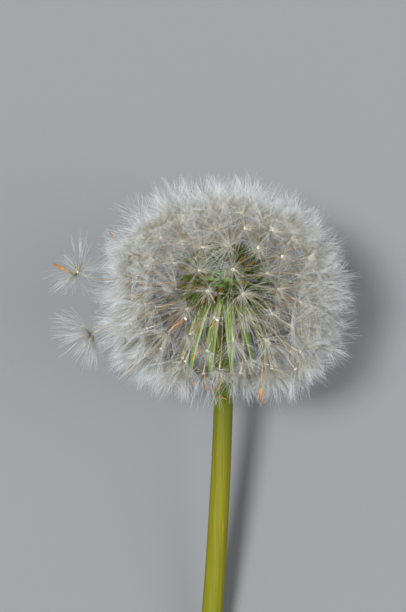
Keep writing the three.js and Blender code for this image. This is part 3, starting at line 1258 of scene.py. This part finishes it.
litter = np.random.default_rng(15)
for number, (right, up, length, lean, ending) in enumerate(STRAY_BEAKS):
    start = np.array([right, 0, up]) * MM
    start[1] = -DOWN_DEPTH_SHARE * front_of_head(start[0], start[2])
    if right < LEFT_OF_HEAD:
        start[1] = -LEFT_DEPTH
    if up < BELOW_HEAD:
        start[1] = -STEM_DEPTH
    slope = math.radians(lean)
    way = unit(np.array([-math.sin(slope), litter.uniform(-0.12, 0.12), -math.cos(slope)]))
    share = np.linspace(0, 1, len(STRAY_RADII))[:, None]
    bow = litter.normal(0, STRAY_BOW, 3) * np.sin(math.pi * share)
    line = start + way * length * MM * share + bow
    parts = [(0, STRAY_ROD, line[None])]
    if ending == "knob":
        knob = start - way * HUB_STATIONS * MM
        parts.append((1, HUB_ROD, knob[None]))
    if ending == "achene":
        husk = line[-1] + way * ACHENE_LENGTH * STRAY_ACHENE_SIZE * (1 - ACHENE_STATIONS)
        parts.append((0, STRAY_ACHENE_ROD, husk[None]))
    if ending == "frayed":
        fan = litter.normal(0, FRAYED_SPREAD, (FRAYED_HAIRS, 1, 3)) + FRAYED_WAY
        reach = litter.uniform(*FRAYED_LENGTHS, (FRAYED_HAIRS, 1, 1)) * MM
        hair_share = np.linspace(0, 1, len(HAIR_RADII))[:, None]
        parts.append((2, HAIR_ROD, start + fan * reach * hair_share))
    shape = bmesh.new()
    corners, along_part = [], []
    for material_index, part, lines in parts:
        add_rods(shape, part, len(lines), material_index)
        bent = bend_rods(corners_of(part), pressed_on_surface(laid_down(lines)))
        corners.append(bent.reshape(-1, 3))
        ring = corners_of(part)[:, 2]
        along_part.append(np.tile(ring / ring.max(), len(lines)))
    mesh = mesh_of(shape, "stray")
    mesh.vertices.foreach_set("co", np.concatenate(corners).ravel())
    give_attribute(mesh, "along", np.concatenate(along_part))
    give_attribute(mesh, "shade", np.full(len(mesh.vertices), 0.5))
    finished_piece(
        "stray_straw_%02d" % (number + 1), mesh, "seed", [old_straw, hub_pith, silky_down]
    )


# ---- Floor, light and camera ----
# A plain matt floor, two far soft lamps and a weak even light from all round, and a camera
# that looks down on the lying head, square to its stem.
FLOOR_SIZE = 1.5
LAMPS = [
    ("key_lamp", (-0.22, -0.03, 0.56), math.radians(18), 3.8),
    ("fill_lamp", (0.45, -0.05, 0.4), math.radians(45), 1.2),
]
ROOM_LIGHT = 0.35
CAMERA_LENS = 100
CAMERA_DISTANCE = 330 * MM
CAMERA_CLOSEST = 10 * MM
HEAD_RIGHT_OF_MIDDLE = 4.3 * MM
HEAD_ABOVE_MIDDLE = 5.4 * MM

# Matt paper: even cool grey, with next to no shine, so that only soft shadows show on it.
floor_paper = new_material(
    "floor_matt_paper",
    {"Base Color": paint("#808385"), "Roughness": 0.9, "Specular IOR Level": 0.2},
)
floor_shape = bmesh.new()
bmesh.ops.create_grid(floor_shape, x_segments=1, y_segments=1, size=FLOOR_SIZE)
floor_mesh = mesh_of(floor_shape, "floor")
floor_mesh.materials.append(floor_paper)
floor = bpy.data.objects.new("floor", floor_mesh)
bpy.context.scene.collection.objects.link(floor)

for name, spot, softness, power in LAMPS:
    lamp = bpy.data.lights.new(name, "SUN")
    lamp.angle = softness
    lamp.energy = power
    holder = bpy.data.objects.new(name, lamp)
    holder.location = spot
    holder.rotation_euler = (head_middle - Vector(spot)).to_track_quat("-Z", "Y").to_euler()
    bpy.context.scene.collection.objects.link(holder)

room = bpy.data.worlds.new("room")
room.use_nodes = True
room.node_tree.nodes["Background"].inputs["Color"].default_value = paint("#e9edf0")
room.node_tree.nodes["Background"].inputs["Strength"].default_value = ROOM_LIGHT
bpy.context.scene.world = room
bpy.context.scene.view_settings.view_transform = "Standard"

camera_data = bpy.data.cameras.new("camera")
camera_data.lens = CAMERA_LENS
camera_data.sensor_width = 36
camera_data.clip_start = CAMERA_CLOSEST
camera = bpy.data.objects.new("camera", camera_data)
right = Vector((1, 0, 0))
up = LAID_DOWN.to_3x3() @ Vector((0, 0, 1))
back = LAID_DOWN.to_3x3() @ Vector((0, -1, 0))
aim = head_middle - right * HEAD_RIGHT_OF_MIDDLE - up * HEAD_ABOVE_MIDDLE
facing_down = Matrix((right, up, back)).transposed().to_4x4()
camera.matrix_world = Matrix.Translation(aim + back * CAMERA_DISTANCE) @ facing_down
bpy.context.scene.collection.objects.link(camera)
bpy.context.scene.camera = camera
